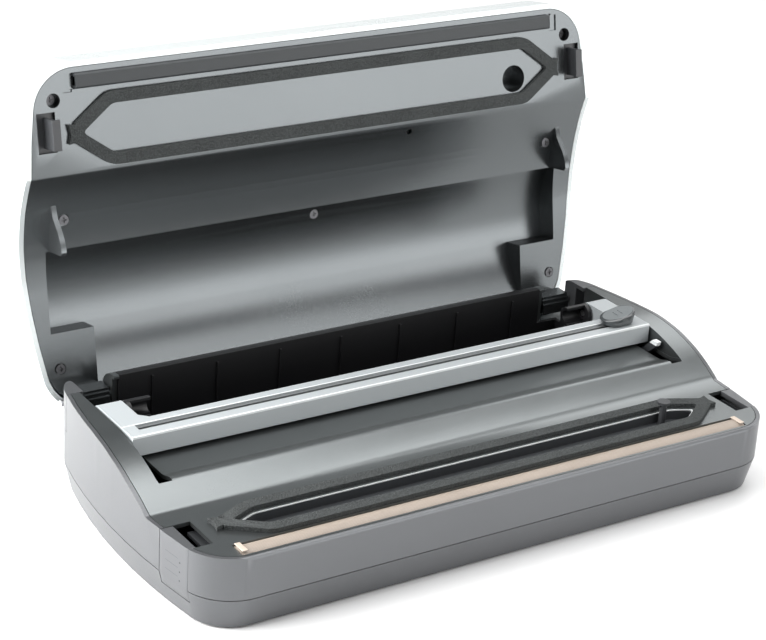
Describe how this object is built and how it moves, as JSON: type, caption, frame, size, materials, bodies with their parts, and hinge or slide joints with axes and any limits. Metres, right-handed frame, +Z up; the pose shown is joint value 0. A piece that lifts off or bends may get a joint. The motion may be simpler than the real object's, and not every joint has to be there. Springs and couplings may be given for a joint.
{
  "type": "vacuum sealer",
  "caption": "Countertop vacuum sealer with hinged lid, sealing bar, foam gaskets, roll compartment and sliding bag cutter.",
  "frame": {"origin": "centre of the bounding box of the whole object with the lid open, on the plane its feet stand on", "axes": "+X to the right along the hinge and the sealing bar, +Y to the back, +Z up; rest pose has the lid fully open"},
  "size_m": [0.385, 0.2608, 0.238],
  "materials": {
    "casing": "satin",
    "deck": "satin",
    "lid_outer": "satin silver",
    "liner": "satin",
    "black_plastic": "matt",
    "foam": "cellular foam",
    "silicone": "soft",
    "light_plastic": "satin",
    "slider": "moulded",
    "tape": "coated glass weave",
    "steel": "plain",
    "resin": "moulded",
    "white_plastic": "moulded",
    "panel": "gloss",
    "board": "coated",
    "lens": "clear",
    "key": "satin",
    "key_red": "satin",
    "foot_rubber": "matt",
    "hose": "translucent",
    "valve": "moulded",
    "core": "varnished",
    "copper": "enamelled wire",
    "brass": "plain"
  },
  "bodies": {
    "base": {"lower_casing": "casing", "casing_skirt": "casing", "deck": "deck", "roll_tray": "black_plastic", "vacuum_tray": "liner", "lower_gasket": "foam", "element_bar": "resin", "heating_wire": "steel", "ptfe_tape": "tape", "tape_clips": "resin", "suction_nozzle": "slider", "hinge_pins": "steel", "hinge_caps": "casing", "arm_brackets": "black_plastic", "arm_pins": "steel", "feet": "foot_rubber", "casing_screws": "steel", "pump_motor": "steel", "pump_body": "black_plastic", "vacuum_hose": "hose", "release_valve": "valve", "transformer_core": "core", "transformer_coil": "copper", "main_board": "board", "power_inlet": "black_plastic", "lid_switch": "black_plastic", "latch_springs": "steel"},
    "pump_rotor": {"pump_rotor": "brass"},
    "switch_lever": {"switch_lever": "white_plastic"},
    "cutter": {"cutter_frame": "light_plastic", "cutter_insert": "slider"},
    "carriage": {"cutter_knob": "slider", "cutter_carriage": "slider", "cutter_blade": "steel"},
    "release_left": {"release_button_left": "casing", "catch_plate_left": "slider"},
    "release_right": {"release_button_right": "casing", "catch_plate_right": "slider"},
    "lid": {"lid_shell": "lid_outer", "lid_liner": "liner", "upper_gasket": "foam", "pressure_strip": "silicone", "latch_hooks": "slider", "lid_screws": "steel", "hinge_bushes": "white_plastic", "control_panel": "panel", "control_board": "board", "board_screws": "steel", "status_lights": "lens"},
    "key_seal": {"key_seal": "key"},
    "key_vacuum": {"key_vacuum": "key"},
    "key_mode": {"key_mode": "key"},
    "key_stop": {"key_stop": "key_red"}
  },
  "joints": [
    {"name": "lid_hinge", "type": "hinge", "parent": "base", "child": "lid", "pos_m": [0, 0.0584, 0.0492], "axis": [1, 0, 0], "range_deg": [0, 100], "deforming": ["lower_gasket", "upper_gasket", "pressure_strip"]},
    {"name": "cutter_hinge", "type": "hinge", "parent": "base", "child": "cutter", "pos_m": [0, 0.0196, 0.0576], "axis": [1, 0, 0], "range_deg": [-70, 0]},
    {"name": "blade_slide", "type": "slide", "parent": "cutter", "child": "carriage", "axis": [1, 0, 0], "range_m": [-0.31, 0]},
    {"name": "release_left_press", "type": "slide", "parent": "base", "child": "release_left", "axis": [1, 0, 0], "range_m": [0, 0.004], "stiffness_N_per_m": 600, "springref_m": -0.002, "deforming": ["latch_springs"]},
    {"name": "release_right_press", "type": "slide", "parent": "base", "child": "release_right", "axis": [-1, 0, 0], "range_m": [0, 0.004], "stiffness_N_per_m": 600, "springref_m": -0.002, "deforming": ["latch_springs"]},
    {"name": "switch_lever_pivot", "type": "hinge", "parent": "base", "child": "switch_lever", "pos_m": [0, -0.0184, 0.04], "axis": [1, 0, 0], "range_deg": [0, 42]},
    {"name": "pump_spin", "type": "hinge", "parent": "base", "child": "pump_rotor", "pos_m": [0, -0.0454, 0.022], "axis": [1, 0, 0], "continuous": true},
    {"name": "key_seal_press", "type": "slide", "parent": "lid", "child": "key_seal", "axis": [0, -0.9848, 0.1736], "range_m": [0, 0.001], "stiffness_N_per_m": 400, "springref_m": -0.001},
    {"name": "key_vacuum_press", "type": "slide", "parent": "lid", "child": "key_vacuum", "axis": [0, -0.9848, 0.1736], "range_m": [0, 0.001], "stiffness_N_per_m": 400, "springref_m": -0.001},
    {"name": "key_mode_press", "type": "slide", "parent": "lid", "child": "key_mode", "axis": [0, -0.9848, 0.1736], "range_m": [0, 0.001], "stiffness_N_per_m": 400, "springref_m": -0.001},
    {"name": "key_stop_press", "type": "slide", "parent": "lid", "child": "key_stop", "axis": [0, -0.9848, 0.1736], "range_m": [0, 0.001], "stiffness_N_per_m": 400, "springref_m": -0.001}
  ],
  "couplings": [
    {"joint": "switch_lever_pivot", "follows": "lid_hinge", "ratio": 0.42}
  ]
}
